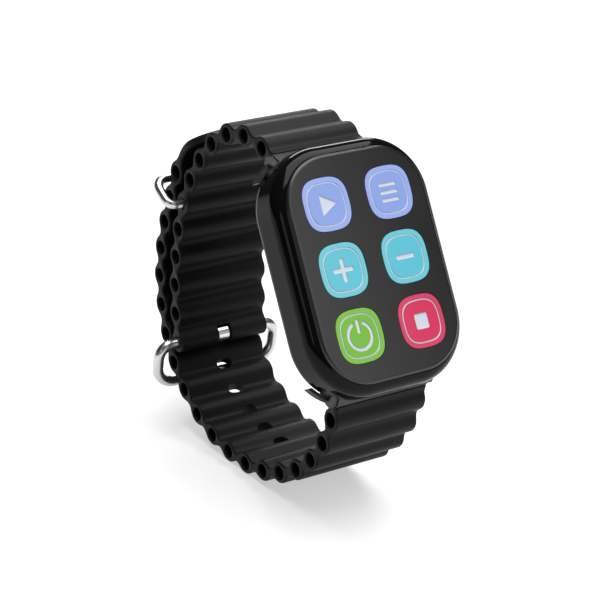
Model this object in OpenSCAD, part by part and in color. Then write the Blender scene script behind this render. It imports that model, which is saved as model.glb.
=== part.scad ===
// Wrist remote for dog training: a flat six-key transmitter case on a ribbed rubber band
// that is buckled into a standing loop. Millimetres, +Z up, X across the band,
// +Y from the key panel towards the buckle. The origin lies on the table under the loop.

/* [Case] */
// Width of the case across the band
case_w = 37.8; // [36:0.1:45]
// Length of the case along the band
case_l = 51.2; // [50:0.1:62]
// Thickness of the housing and cover together, without the raised panel
case_t = 10.2; // [9.8:0.1:12]
// Corner radius of the case outline
case_r = 13; // [11:0.5:14]
// Radius of the front shoulder
front_r = 3.2; // [2:0.1:4]
// Radius of the back edge
back_r = 2.4; // [1:0.1:3]
// Backward lean of the key panel when the loop stands on a table, in degrees
lean = 29.7; // [20:0.1:32]
// Depth of the back cover's plate
cover_t = 1.6; // [1.2:0.1:2]
// Length of the back cover between the lug seats
cover_l = 41.4; // [40:0.1:41.8]

/* [Front panel] */
// Width of the raised front panel
panel_w = 33.8; // [33:0.1:34.4]
// Length of the raised front panel
panel_l = 46.6; // [46:0.1:47.4]
// Corner radius of the panel
panel_r = 10.5; // [9:0.5:11.5]
// Thickness of the panel
panel_t = 1.8; // [1.6:0.1:2.2]
// Height of the panel's face above the housing's front face
panel_rise = 0.45; // [0.2:0.05:0.7]

/* [Keys] */
// Side of a key's rounded square
key_w = 10.8; // [9:0.1:11.4]
// Distance between the two key columns
key_dx = 15.3; // [14:0.1:17]
// Distance between the key rows
key_dy = 13.4; // [13:0.1:15]
// Travel of a key
key_travel = 0.3; // [0.2:0.05:0.4]
// Gap around a key
key_gap = 0.12; // [0.08:0.01:0.2]
// Depth of the engraved legend
legend_d = 0.15; // [0.1:0.05:0.3]

/* [Circuit board and battery] */
// Thickness of the circuit board
board_t = 1; // [0.8:0.1:1.2]
// Side of a key switch
switch_w = 4.6; // [4:0.1:5]
// Height of a key switch's body
switch_h = 1.2; // [1:0.1:1.4]
// Radius of a switch plunger
plunger_r = 1.1; // [0.8:0.1:1.3]
// Width of the battery
battery_w = 20; // [16:1:24]
// Length of the battery
battery_l = 26; // [20:1:27]
// Thickness of the battery
battery_t = 2.6; // [2:0.1:2.7]
// Radius of the sounder
sounder_r = 4; // [3:0.5:4.5]

/* [Band] */
// Width of the band
band_w = 22.5; // [20:0.5:24]
// Distance between neighbouring ribs
rib_pitch = 6.7; // [6.5:0.05:6.9]
// Thickness of the band over a rib
rib_t = 4.6; // [4.2:0.1:4.8]
// Thickness of the band between two ribs
neck_t = 2; // [1.6:0.1:2.2]
// Radius of the hole through each rib
rib_hole_r = 1.5; // [1.2:0.05:1.6]
// Thickness of the flat tip
tip_t = 1.6; // [1.2:0.1:1.8]
// Length of an adjusting hole across the band
adjust_w = 3.8; // [3.4:0.1:4.4]
// Width of an adjusting hole along the band
adjust_l = 2.4; // [2:0.1:2.6]

/* [Buckle and keeper] */
// Radius of the buckle ring's wire
buckle_r = 1.2; // [1:0.05:1.25]
// Radius of the keeper ring's wire
keeper_r = 1.05; // [0.9:0.05:1.1]
// Sideways play of each ring in its rib
ring_slide = 0.6; // [0.2:0.1:0.8]
// Width of the tongue
tongue_w = 2.6; // [2:0.1:3]
// Thickness of the tongue
tongue_t = 1; // [0.8:0.1:1.2]
// Radial clearance between a bar and the bore it turns in
bar_fit = 0.06; // [0.03:0.01:0.1]

/* [Hidden] */
$fn = 48;
eps = 0.01;

// Each key: name, column, row, colour
KEYS = [
    ["program", -1, 1, "cornflowerblue"],
    ["mode", 1, 1, "cornflowerblue"],
    ["plus", -1, 0, "turquoise"],
    ["minus", 1, 0, "turquoise"],
    ["power", -1, -1, "limegreen"],
    ["stop", 1, -1, "crimson"]
];

// ---- Case stack, measured down from the panel's face at z = 0 ----
housing_top = -panel_rise;
case_bottom = housing_top - case_t;
cover_top = case_bottom + cover_t;
panel_back = -panel_t;
panel_fit = 0.1;
ledge_t = 0.8;
ledge_w = 1.4;
side_wall = 2.2;
end_wall = 5.4;
cavity_w = case_w - 2 * side_wall;
cavity_l = case_l - 2 * end_wall;
cavity_r = 2.5;
cover_gap = 0.1;

flange_over = 0.7;
flange_t = 0.6;
flange_gap = 0.05;
flange_top = panel_back - flange_gap;
flange_back = flange_top - flange_t;
key_sink = 0.02;
stem_r = 1.5;
stem_l = 0.7;
plunger_top = flange_back - stem_l;
plunger_rise = 0.4;
plunger_fit = 0.05;
switch_top = plunger_top - plunger_rise;
plunger_back = switch_top - key_travel - 0.1;
board_top = switch_top - switch_h;
board_back = board_top - board_t;
board_gap = 0.3;

seal_w = 0.8;
seal_t = 0.6;
seal_fit = 0.02;
spigot_w = 0.8;
spigot_h = 0.8;
screw_in = 2.1;
screw_x = cavity_w / 2 - screw_in;
screw_y = cavity_l / 2 - screw_in;
screw_r = 0.6;
screw_fit = 0.05;
screw_head_r = 1.2;
screw_head_t = 0.6;
screw_sink = 0.35;
boss_r = 1.5;
pillar_r = 1.1;

pad_t = 0.3;
battery_y = 4.5 - cavity_l / 2 + battery_l / 2;
battery_back = cover_top + pad_t;
chip_y = cavity_l / 2 - 5.4;
radio_size = [9, 7, 1.8];
radio_x = -8;
chip_size = [4.8, 4.8, 0.9];
chip_x = -0.3;
sounder_x = 7;
sounder_t = 2.2;
antenna_w = 1.2;
antenna_t = 0.2;
antenna_in = 2.4;
pin_r = 0.9;
pin_fit = 0.03;
pin_dx = 3.2;
pin_y = screw_in - cavity_l / 2 + 0.6;

// ---- Lug seat in each end of the case ----
root_heading = 45.5;
seat_in = 2.7;
seat_y = case_l / 2 - seat_in;
seat_z = -7.5;
seat_r = 1.8;
seat_fit = 0.1;
lug_w = band_w + 6;
neck_gap = 0.15;
lug_neck_t = 2.2;
lug_neck_l = 3.5;
lug_tab_t = 0.8;
lug_tab_l = 2;
lug_tab_w = band_w - 4;
wing_gap = 0.1;
wing_t = 0.7;
wing_h = 1.7;
wing_in = 4.6;
ear_w = 1.8;
ear_t = 1.6;
ear_l = 3.4;

// ---- Band centre lines: [radius, sweep in degrees] from the first rib on ----
root_l = 7.5;
root_t = 2.6;
short_bends = [[19.4, 59], [41, 38], [72, 30]];
long_bends = [[28.5, 40], [38.5, 50.5], [30.6, 61.7], [40, 30], [200, 4.7], [10, 31], [60, 20]];
short_ribs = 12;
long_ribs = 19;
tip_l = 15.4;
tip_r = 8;
steps = 8;
first_adjust = 7;
last_adjust = 17;
tail_s = (long_ribs - 1) * rib_pitch + tip_l;

// ---- Rings: the rib that holds each bar and the valley its outer bar lies over ----
keeper_rib = 7;
keeper_valley = 18.5;
buckle_valley = 11.5;
tongue_valley = 12.5;
ring_lift = 0.45;
ring_end_gap = 0.1;
ring_flat = band_w / 2 + ring_end_gap + ring_slide;
keeper_bends = [2, 3.2];
buckle_bends = [3.2, 4.6];
slot_w = tongue_w + 0.8;
slot_gap = 0.3;
barrel_t = 0.7;
tongue_lift = 0.3;

// A point is [distance up the panel, depth behind it]; a place is [point, heading].
// A heading of 0 runs straight back from the panel and 90 runs away from the case.
function arc_end(p, a, r, d) =
    [p[0] + r * (cos(a - d) - cos(a)), p[1] + r * (sin(a) - sin(a - d))];
function follow(p, a, bends, s, i = 0) =
    let (r = bends[i][0], full = bends[i][1], d = s / r * 180 / PI)
    d <= full || i == len(bends) - 1
        ? [arc_end(p, a, r, d), a - d]
        : follow(arc_end(p, a, r, full), a - full, bends, s - r * full * PI / 180, i + 1);
seat = [seat_y, -seat_z];
first_rib = seat + root_l * [sin(root_heading), cos(root_heading)];
// The band leaves its seat straight, so a negative length runs back towards the seat
function centre(bends, s) =
    s < 0
        ? [first_rib + s * [sin(root_heading), cos(root_heading)], root_heading]
        : follow(first_rib, root_heading, bends, s);
function outside(place, d) = place[0] + d * [cos(place[1]), -sin(place[1])];
function rib_s(n) = (n - 1) * rib_pitch;
// Thickness along the band: full at a rib, thin between two
function wave(s) =
    neck_t + (rib_t - neck_t) * (1 - pow(0.5 - 0.5 * cos(360 * s / rib_pitch), 1.4));
function short_t(s) = s < 0 ? max(wave(s), root_t) : wave(s);
function long_t(s) =
    s < 0 ? max(wave(s), root_t)
    : s <= rib_s(long_ribs) ? wave(s)
    : s < rib_s(long_ribs + 0.5) ? max(wave(s), tip_t)
    : tip_t;

function mirrored(p) = [-p[0], p[1]];
keeper_bore = centre(short_bends, rib_s(keeper_rib))[0];
keeper_bar = mirrored(outside(
    centre(long_bends, rib_s(keeper_valley)), neck_t / 2 + ring_lift + keeper_r));
buckle_bore = centre(short_bends, rib_s(short_ribs))[0];
buckle_place = centre(long_bends, rib_s(buckle_valley));
buckle_bar = mirrored(outside(buckle_place, neck_t / 2 + ring_lift + buckle_r));

// ---- Standing on the table: panel axes turned by the lean, then shifted ----
function lean_y(p) = p[0] * sin(lean) + p[1] * cos(lean);
function lean_z(p) = p[0] * cos(lean) - p[1] * sin(lean);
outer_edge = [
    for (s = [0 : rib_pitch / steps : rib_s(long_ribs)])
        mirrored(outside(centre(long_bends, s), long_t(s) / 2))
];
shoulder = [front_r - case_l / 2, front_r - housing_top];
front_y = lean_y(shoulder) - front_r;
back_y = max(
    max([for (p = outer_edge) lean_y(p)]),
    lean_y(buckle_bar) + buckle_r,
    lean_y(keeper_bar) + keeper_r
);
floor_z = min([for (p = outer_edge) lean_z(p)]);

module place() {
    translate([0, -(front_y + back_y) / 2, -floor_z])
        rotate([90 - lean, 0, 0])
            children();
}

// Extrudes a [up the panel, height above it] outline across the band, centred on it
module across(w) {
    rotate([90, 0, 90])
        linear_extrude(w, center = true)
            children();
}

module cylinder_across(r, w) {
    rotate([0, 90, 0])
        cylinder(r = r, h = w, center = true);
}

// ---- Outlines ----
module round_rect(w, l, r) {
    union() {
        square([w - 2 * r, l], center = true);
        square([w, l - 2 * r], center = true);
        for (x = [-1, 1], y = [-1, 1])
            translate([x * (w / 2 - r), y * (l / 2 - r)])
                circle(r);
    }
}

// Square with sides that bulge softly into its corners
module squircle(w, power = 3, points = 64) {
    polygon([
        for (i = [0 : points - 1])
            let (a = 360 * i / points, c = cos(a), s = sin(a))
            w / 2 * [sign(c) * pow(abs(c), 2 / power), sign(s) * pow(abs(s), 2 / power)]
    ]);
}

module slab(top, bottom, w, l, r) {
    translate([0, 0, bottom])
        linear_extrude(top - bottom)
            round_rect(w, l, r);
}

// Cross-section of the case: round front shoulders and softer back edges
module case_section(l) {
    h = case_t;
    union() {
        translate([-l / 2, back_r])
            square([l, h - front_r - back_r]);
        translate([back_r - l / 2, 0])
            square([l - 2 * back_r, h / 2]);
        translate([front_r - l / 2, h / 2])
            square([l - 2 * front_r, h / 2]);
        for (side = [-1, 1]) {
            translate([side * (l / 2 - front_r), h - front_r])
                circle(front_r);
            translate([side * (l / 2 - back_r), back_r])
                circle(back_r);
        }
    }
}

module case_blank() {
    translate([0, 0, case_bottom]) {
        rotate([90, 0, 90])
            linear_extrude(case_w - 2 * case_r, center = true)
                case_section(case_l);
        rotate([90, 0, 0])
            linear_extrude(case_l - 2 * case_r, center = true)
                case_section(case_w);
        for (x = [-1, 1], y = [-1, 1])
            translate([x * (case_w / 2 - case_r), y * (case_l / 2 - case_r)])
                rotate_extrude()
                    intersection() {
                        case_section(2 * case_r);
                        square([case_r, case_t]);
                    }
    }
}

module at_screws() {
    for (x = [-1, 1], y = [-1, 1])
        translate([x * screw_x, y * screw_y])
            children();
}

module at_key(k) {
    translate([k[1] * key_dx / 2, k[2] * key_dy])
        children();
}

// ---- Case ----
module cover_zone(extra) {
    translate([-case_w, -cover_l / 2 - extra, case_bottom - 1])
        cube([2 * case_w, cover_l + 2 * extra, cover_t + 1]);
}

// Channel across one end of the case, with its mouth towards the band
module lug_channel() {
    translate([0, seat_y, seat_z]) {
        cylinder_across(seat_r + seat_fit, case_w + 2);
        rotate([root_heading - 90, 0, 0])
            translate([0, root_l / 2, 0])
                cube([case_w + 2, root_l, lug_neck_t + 2 * neck_gap], center = true);
    }
}

module front_housing() {
    color([0.03, 0.03, 0.035])
        place() {
            difference() {
                case_blank();
                slab(1, panel_back, panel_w + 2 * panel_fit, panel_l + 2 * panel_fit,
                     panel_r + panel_fit);
                slab(panel_back + eps, panel_back - ledge_t - eps,
                     panel_w - 2 * ledge_w, cavity_l, cavity_r);
                slab(panel_back - ledge_t, case_bottom, cavity_w, cavity_l, cavity_r);
                cover_zone(cover_gap);
                lug_channel();
                mirror([0, 1, 0])
                    lug_channel();
            }
            difference() {
                at_screws()
                    translate([0, 0, board_top])
                        cylinder(r = boss_r, h = panel_back - board_top);
                at_screws()
                    translate([0, 0, board_top - 1])
                        cylinder(r = screw_r, h = panel_back - ledge_t - board_top + 1);
            }
        }
}

module back_cover() {
    color([0.16, 0.16, 0.17])
        place()
            difference() {
                union() {
                    intersection() {
                        case_blank();
                        cover_zone(0);
                    }
                    difference() {
                        slab(cover_top + spigot_h, cover_top - eps,
                             cavity_w - 2 * seal_w, cavity_l - 2 * seal_w, cavity_r - seal_w);
                        slab(cover_top + spigot_h + 1, cover_top - 1,
                             cavity_w - 2 * (seal_w + spigot_w), cavity_l - 2 * (seal_w + spigot_w),
                             cavity_r - seal_w - spigot_w);
                    }
                    at_screws()
                        translate([0, 0, cover_top - eps])
                            cylinder(r = pillar_r, h = board_back - cover_top + eps);
                }
                at_screws() {
                    translate([0, 0, case_bottom - 1])
                        cylinder(r = screw_r + screw_fit, h = case_t);
                    translate([0, 0, case_bottom - 1])
                        cylinder(r = screw_head_r + screw_fit, h = 1 + screw_sink + screw_head_t);
                }
                for (side = [-1, 1])
                    translate([side * pin_dx, pin_y, case_bottom - 1])
                        cylinder(r = pin_r + pin_fit, h = cover_t + 2);
            }
}

module front_panel() {
    edge = 0.8;
    color([0.12, 0.12, 0.13])
        place()
            difference() {
                union() {
                    slab(-edge, panel_back, panel_w, panel_l, panel_r);
                    for (x = [-1, 1], y = [-1, 1])
                        translate([x * (panel_w / 2 - panel_r), y * (panel_l / 2 - panel_r)])
                            rotate_extrude()
                                panel_edge(panel_r, edge);
                    rotate([90, 0, 90])
                        linear_extrude(panel_w - 2 * panel_r, center = true)
                            mirrored_edge(panel_l / 2, edge);
                    rotate([90, 0, 0])
                        linear_extrude(panel_l - 2 * panel_r, center = true)
                            mirrored_edge(panel_w / 2, edge);
                }
                for (k = KEYS)
                    at_key(k)
                        translate([0, 0, panel_back - 1])
                            linear_extrude(panel_t + 2)
                                squircle(key_w + 2 * key_gap);
            }
}

// Half of the panel's section near its face: flat, then a rounded edge
module panel_edge(half, edge) {
    translate([0, -edge])
        square([half - edge, edge]);
    translate([half - edge, -edge])
        intersection() {
            circle(edge);
            square(edge);
        }
}

module mirrored_edge(half, edge) {
    panel_edge(half, edge);
    mirror([1, 0])
        panel_edge(half, edge);
}

module case_seal() {
    color("dimgray")
        place()
            difference() {
                slab(cover_top + seal_t, cover_top, cavity_w - 2 * seal_fit, cavity_l - 2 * seal_fit,
                     cavity_r - seal_fit);
                slab(cover_top + seal_t + 1, cover_top - 1, cavity_w - 2 * seal_w, cavity_l - 2 * seal_w,
                     cavity_r - seal_w);
            }
}

module case_screws() {
    color("silver")
        place()
            at_screws() {
                translate([0, 0, case_bottom + screw_sink])
                    cylinder(r = screw_head_r, h = screw_head_t);
                translate([0, 0, case_bottom + screw_sink])
                    cylinder(r = screw_r, h = panel_back - ledge_t - 0.3 - case_bottom - screw_sink);
            }
}

// ---- Keys ----
module legend(name) {
    if (name == "plus") {
        round_rect(4.9, 0.95, 0.35);
        round_rect(0.95, 4.9, 0.35);
    }
    if (name == "minus")
        round_rect(4.5, 0.95, 0.35);
    if (name == "stop")
        round_rect(3.2, 3.2, 0.4);
    if (name == "power") {
        difference() {
            circle(3.1);
            circle(2.4);
            translate([-1.05, 0])
                square([2.1, 4]);
        }
        translate([0, 1.95])
            round_rect(0.75, 2.9, 0.25);
    }
    if (name == "program")
        polygon([[-1.4, -2.2], [-1.4, 2.2], [2.4, 0]]);
    if (name == "mode")
        for (y = [-1.6, 0, 1.6])
            translate([0, y])
                round_rect(4.2, 0.75, 0.25);
}

module key(k) {
    ring_out = 8.9;
    ring_line = 0.3;
    color(k[3])
        place()
            at_key(k) {
                difference() {
                    translate([0, 0, flange_top - eps])
                        linear_extrude(-key_sink - flange_top + eps)
                            squircle(key_w);
                    translate([0, 0, -key_sink - legend_d])
                        linear_extrude(1) {
                            legend(k[0]);
                            difference() {
                                squircle(ring_out);
                                squircle(ring_out - 2 * ring_line);
                            }
                        }
                }
                translate([0, 0, flange_back])
                    linear_extrude(flange_t)
                        squircle(key_w + 2 * flange_over);
                translate([0, 0, plunger_top])
                    cylinder(r = stem_r, h = stem_l + eps);
            }
}

module switch_body(k) {
    color("gainsboro")
        place()
            at_key(k)
                difference() {
                    translate([-switch_w / 2, -switch_w / 2, board_top])
                        cube([switch_w, switch_w, switch_h]);
                    translate([0, 0, plunger_back - key_travel])
                        cylinder(r = plunger_r + plunger_fit, h = switch_h);
                }
}

module plunger(k) {
    color("saddlebrown")
        place()
            at_key(k)
                translate([0, 0, plunger_back])
                    cylinder(r = plunger_r, h = plunger_top - plunger_back);
}

// ---- Electronics ----
module circuit_board() {
    color("darkgreen")
        place()
            difference() {
                slab(board_top, board_back, cavity_w - 2 * board_gap, cavity_l - 2 * board_gap,
                     cavity_r - board_gap);
                at_screws()
                    translate([0, 0, board_back - 1])
                        cylinder(r = screw_r + screw_fit, h = board_t + 2);
            }
}

module on_board_back(x, size) {
    place()
        translate([x - size[0] / 2, chip_y - size[1] / 2, board_back - size[2]])
            cube(size);
}

module microcontroller() {
    color([0.1, 0.1, 0.1])
        on_board_back(chip_x, chip_size);
}

module radio_module() {
    color("lightgray")
        on_board_back(radio_x, radio_size);
}

module sounder() {
    color("black")
        place()
            translate([sounder_x, chip_y, board_back - sounder_t])
                difference() {
                    cylinder(r = sounder_r, h = sounder_t);
                    translate([0, 0, -1])
                        cylinder(r = sounder_r / 5, h = 1.5);
                }
}

// Flat strip that runs up one side of the board and turns in at the top
module antenna() {
    x = -cavity_w / 2 + antenna_in;
    color("goldenrod")
        place()
            translate([0, 0, board_back - antenna_t])
                linear_extrude(antenna_t)
                    union() {
                        translate([x, battery_y - battery_l / 2])
                            square([antenna_w, battery_l]);
                        translate([x, battery_y - battery_l / 2])
                            square([3 * antenna_w, antenna_w]);
                    }
}

module battery() {
    color("silver")
        place()
            translate([0, battery_y, 0])
                slab(battery_back + battery_t, battery_back, battery_w, battery_l, 1);
}

module battery_pad() {
    inset = 2;
    color("dimgray")
        place()
            translate([0, battery_y, 0])
                slab(battery_back, cover_top, battery_w - inset, battery_l - inset, 1);
}

module charge_pins() {
    color("gold")
        place()
            for (side = [-1, 1])
                translate([side * pin_dx, pin_y, case_bottom]) {
                    cylinder(r = pin_r, h = cover_t + 0.4);
                    cylinder(r = pin_r / 2, h = board_back - case_bottom);
                }
}

// ---- Lugs: a bar in the case end, a neck, a tab in the band and two corner wings ----
module case_outline(grow) {
    round_rect(case_w + 2 * grow, case_l + 2 * grow, case_r + grow);
}

module wings() {
    translate([0, 0, case_bottom])
        linear_extrude(wing_h)
            difference() {
                intersection() {
                    case_outline(wing_gap + wing_t);
                    translate([-case_w, case_l / 2 - wing_in])
                        square([2 * case_w, 2 * wing_in]);
                }
                case_outline(wing_gap);
                square([band_w + 2 * wing_gap, 2 * case_l], center = true);
            }
}

module lug() {
    intersection() {
        translate([0, seat_y, seat_z])
            cylinder_across(seat_r, lug_w);
        translate([0, 0, case_bottom])
            linear_extrude(case_t)
                case_outline(0);
    }
    translate([0, seat_y, seat_z])
        rotate([root_heading - 90, 0, 0]) {
            translate([-band_w / 2, 0, -lug_neck_t / 2])
                cube([band_w, lug_neck_l, lug_neck_t]);
            translate([-lug_tab_w / 2, 0, -lug_tab_t / 2])
                cube([lug_tab_w, lug_neck_l + lug_tab_l, lug_tab_t]);
            for (side = [0, 1])
                mirror([side, 0, 0])
                    translate([band_w / 2 - wing_gap, 0, -ear_t / 2])
                        cube([ear_w, ear_l, ear_t]);
        }
    wings();
}

module lug_top() {
    color([0.05, 0.05, 0.05])
        place()
            lug();
}

module lug_bottom() {
    color([0.05, 0.05, 0.05])
        place()
            mirror([0, 1, 0])
                lug();
}

// ---- Band halves ----
module upright(p) {
    translate([p[0], -p[1]])
        children();
}

// One band half from the side. end_r rounds its far end; 0 leaves the end square.
module band_outline(bends, from, to, end_r) {
    n = round((to - from) / rib_pitch * steps);
    places = [for (i = [0 : n]) let (s = from + (to - from) * i / n) [centre(bends, s), s]];
    outer = [for (q = places) outside(q[0], (bends == short_bends ? short_t(q[1]) : long_t(q[1])) / 2)];
    inner = [for (q = places) outside(q[0], -(bends == short_bends ? short_t(q[1]) : long_t(q[1])) / 2)];
    end = places[n][0];
    round_end = end_r == 0 ? [] : [
        for (turn = [15 : 15 : 165]) outside([end[0], end[1] - turn], end_r)
    ];
    mirror([0, 1])
        polygon(concat(outer, round_end, [for (i = [n : -1 : 0]) inner[i]]));
}

// Slot in the band's root that the lug's tab sits in
module tab_pocket() {
    translate([0, seat_y, seat_z])
        rotate([root_heading - 90, 0, 0])
            translate([-lug_tab_w / 2, 0, -lug_tab_t / 2])
                cube([lug_tab_w, lug_neck_l + lug_tab_l, lug_tab_t]);
}

module rib_holes(bends, first, last, r) {
    for (n = [first : last])
        upright(centre(bends, rib_s(n))[0])
            circle(r);
}

module strap_short() {
    color([0.1, 0.1, 0.1])
        place()
            difference() {
                across(band_w)
                    difference() {
                        band_outline(short_bends, lug_neck_l - root_l, rib_s(short_ribs), rib_t / 2);
                        rib_holes(short_bends, 1, keeper_rib - 1, rib_hole_r);
                        rib_holes(short_bends, keeper_rib, keeper_rib, keeper_r + bar_fit);
                        rib_holes(short_bends, keeper_rib + 1, short_ribs - 1, rib_hole_r);
                        rib_holes(short_bends, short_ribs, short_ribs, buckle_r + bar_fit);
                    }
                tab_pocket();
                at_place(centre(short_bends, rib_s(short_ribs)))
                    translate([-slot_w / 2, -buckle_r - barrel_t - slot_gap, -rib_t])
                        cube([slot_w, 2 * rib_t, 2 * rib_t]);
            }
}

module adjust_hole() {
    side = (adjust_w - adjust_l) / 2;
    linear_extrude(2 * rib_t, center = true)
        union() {
            square([2 * side, adjust_l], center = true);
            for (x = [-side, side])
                translate([x, 0])
                    circle(adjust_l / 2);
        }
}

module strap_long() {
    color([0.1, 0.1, 0.1])
        place()
            mirror([0, 1, 0])
                difference() {
                    across(band_w)
                        difference() {
                            band_outline(long_bends, lug_neck_l - root_l, tail_s, 0);
                            rib_holes(long_bends, 1, long_ribs, rib_hole_r);
                        }
                    tab_pocket();
                    for (n = [first_adjust : last_adjust])
                        at_place(centre(long_bends, rib_s(n + 0.5)))
                            adjust_hole();
                    tail_corners();
                }
}

// Turns the band's own axes to a place on its centre line: X across, Y along, Z inwards
module at_place(q) {
    translate([0, q[0][0], -q[0][1]])
        rotate([q[1] - 90, 0, 0])
            children();
}

// What the round free end leaves of the band's square one
module tail_corners() {
    at_place(centre(long_bends, tail_s - tip_r))
        linear_extrude(4 * tip_r, center = true)
            difference() {
                translate([-band_w, 0])
                    square([2 * band_w, 2 * tip_r]);
                translate([0, -band_w])
                    round_rect(band_w, 2 * (tip_r + band_w), tip_r);
            }
}

// ---- Rings and tongue ----
// Quarter bend from a bar's end, turning up into the side
module wire_bend(bend, wire_r) {
    rotate([0, 0, -90])
        rotate_extrude(angle = 90)
            translate([bend, 0])
                circle(wire_r);
}

// A closed wire loop: its inner bar lies across the band at the origin.
// bends holds the bend radius at the inner bar and at the outer bar.
module wire_ring(l, wire_r, bends) {
    side = ring_flat + bends[0];
    for (x = [0, 1])
        mirror([x, 0, 0]) {
            translate([ring_flat, bends[0], 0])
                wire_bend(bends[0], wire_r);
            translate([side - bends[1], l - bends[1], 0])
                mirror([0, 1, 0])
                    wire_bend(bends[1], wire_r);
            translate([side, bends[0], 0])
                rotate([-90, 0, 0])
                    cylinder(r = wire_r, h = l - bends[0] - bends[1]);
        }
    cylinder_across(wire_r, 2 * ring_flat);
    translate([0, l, 0])
        cylinder_across(wire_r, 2 * (side - bends[1]));
}

module ring_between(bore, bar, wire_r, bends) {
    reach = bar - bore;
    place()
        translate([-ring_slide, bore[0], -bore[1]])
            rotate([atan2(-reach[1], reach[0]), 0, 0])
                wire_ring(norm(reach), wire_r, bends);
}

module buckle_frame() {
    color("silver")
        ring_between(buckle_bore, buckle_bar, buckle_r, buckle_bends);
}

module keeper_ring() {
    color("silver")
        ring_between(keeper_bore, keeper_bar, keeper_r, keeper_bends);
}

// Flat strip between two points, with round ends
module strip(p, q, t) {
    d = q - p;
    union() {
        upright(p)
            rotate(atan2(-d[1], d[0]))
                translate([0, -t / 2])
                    square([norm(d), t]);
        upright(p)
            circle(t / 2 + eps);
        upright(q)
            circle(t / 2 + eps);
    }
}

// The tongue rises through an adjusting hole and lies over the ring's outer bar
module buckle_tongue() {
    rise = rib_t / 2 + tongue_lift + tongue_t / 2;
    knee = mirrored(outside(centre(long_bends, rib_s(tongue_valley)), rise));
    rest = mirrored(outside(buckle_place,
        neck_t / 2 + ring_lift + 2 * buckle_r + tongue_t / 2 + ring_end_gap));
    color("silver")
        place()
            across(tongue_w)
                difference() {
                    union() {
                        upright(buckle_bore)
                            circle(buckle_r + barrel_t);
                        strip(buckle_bore, knee, tongue_t);
                        strip(knee, rest, tongue_t);
                    }
                    upright(buckle_bore)
                        circle(buckle_r + bar_fit);
                }
}

front_housing();
back_cover();
front_panel();
case_seal();
for (k = KEYS) {
    key(k);
    switch_body(k);
    plunger(k);
}
circuit_board();
microcontroller();
radio_module();
antenna();
sounder();
battery();
battery_pad();
charge_pins();
case_screws();
lug_top();
lug_bottom();
strap_short();
strap_long();
buckle_frame();
buckle_tongue();
keeper_ring();
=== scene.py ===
# %% [markdown]
# # A wrist remote for dog training
# The object is a flat six-key transmitter worn like a watch. A ribbed rubber band runs
# from both ends of its case, and two wire rings hold the buckled band in a standing loop.
# The design model gives every size, joint and fit. This lesson adds what a maker calls
# the finish: softened rubber edges, wire that is really bent, printed keys, gloss and grain.
#
# The frame comes first. Every later piece is placed from the frame's own boxes, so nothing
# has to be fitted by eye.

# %% Load the frame
import math

import bmesh
import bpy
from mathutils import Matrix, Vector
from mathutils.geometry import tessellate_polygon


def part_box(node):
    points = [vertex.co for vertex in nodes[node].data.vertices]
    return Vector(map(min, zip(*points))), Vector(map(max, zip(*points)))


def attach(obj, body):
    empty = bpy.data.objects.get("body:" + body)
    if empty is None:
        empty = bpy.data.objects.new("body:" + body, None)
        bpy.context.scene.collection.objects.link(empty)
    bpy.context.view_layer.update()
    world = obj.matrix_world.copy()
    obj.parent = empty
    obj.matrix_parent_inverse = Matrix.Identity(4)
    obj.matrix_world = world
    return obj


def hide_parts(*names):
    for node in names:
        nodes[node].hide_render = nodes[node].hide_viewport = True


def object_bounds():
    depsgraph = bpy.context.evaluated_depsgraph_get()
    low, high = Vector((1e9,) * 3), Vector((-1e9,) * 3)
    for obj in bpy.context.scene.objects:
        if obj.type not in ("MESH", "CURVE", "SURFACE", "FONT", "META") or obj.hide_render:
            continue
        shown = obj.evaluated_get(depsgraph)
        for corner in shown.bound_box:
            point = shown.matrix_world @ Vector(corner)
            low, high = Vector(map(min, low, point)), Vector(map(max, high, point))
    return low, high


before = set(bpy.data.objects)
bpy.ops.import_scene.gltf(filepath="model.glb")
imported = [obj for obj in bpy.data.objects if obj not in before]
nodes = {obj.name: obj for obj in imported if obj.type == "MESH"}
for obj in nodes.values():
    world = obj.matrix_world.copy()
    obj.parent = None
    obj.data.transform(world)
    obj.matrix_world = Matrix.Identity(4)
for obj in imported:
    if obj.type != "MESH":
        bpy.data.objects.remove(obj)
cad_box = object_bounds()

# %% [markdown]
# The key panel leans back, so a second set of axes is handy: *across* the band, *up* the
# panel and *deep*, measured straight back from the panel's face. The circuit board is a
# plain slab at a known depth behind the face, which makes it a good place to measure from.

# %% Panel axes
MM = 0.001
LEAN = math.radians(29.7)
BOARD_DEPTH = 5.25 * MM
UP = Vector((0, math.sin(LEAN), math.cos(LEAN)))
DEEP = Vector((0, math.cos(LEAN), -math.sin(LEAN)))


def middle(node):
    low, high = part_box(node)
    return (Vector(low) + Vector(high)) / 2


face = middle("circuit_board") - DEEP * BOARD_DEPTH


def place(across, up, deep):
    return face + Vector((across, 0, 0)) + UP * up + DEEP * deep


print("face centre in mm:", [round(v / MM, 2) for v in face])

# %% [markdown]
# ## The stage
# The camera looks from the wearer's left, a little above the keys. Its lens is long, so the
# sides of the case stay nearly parallel. It was levelled for a panel that leans 25.6 degrees,
# and it leans with the panel from there.

# %% Camera
LEVEL_LEAN = math.radians(25.6)
CAMERA_TURN = math.radians(-34.657)
CAMERA_HEIGHT = math.radians(19.335)
CAMERA_AIM = Vector((-13.65, 6.47, -6.96)) * MM
CAMERA_DISTANCE = 437.95 * MM


def add_object(name, data):
    """Puts a new object with this data in the scene."""
    thing = bpy.data.objects.new(name, data)
    bpy.context.collection.objects.link(thing)
    return thing


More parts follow.
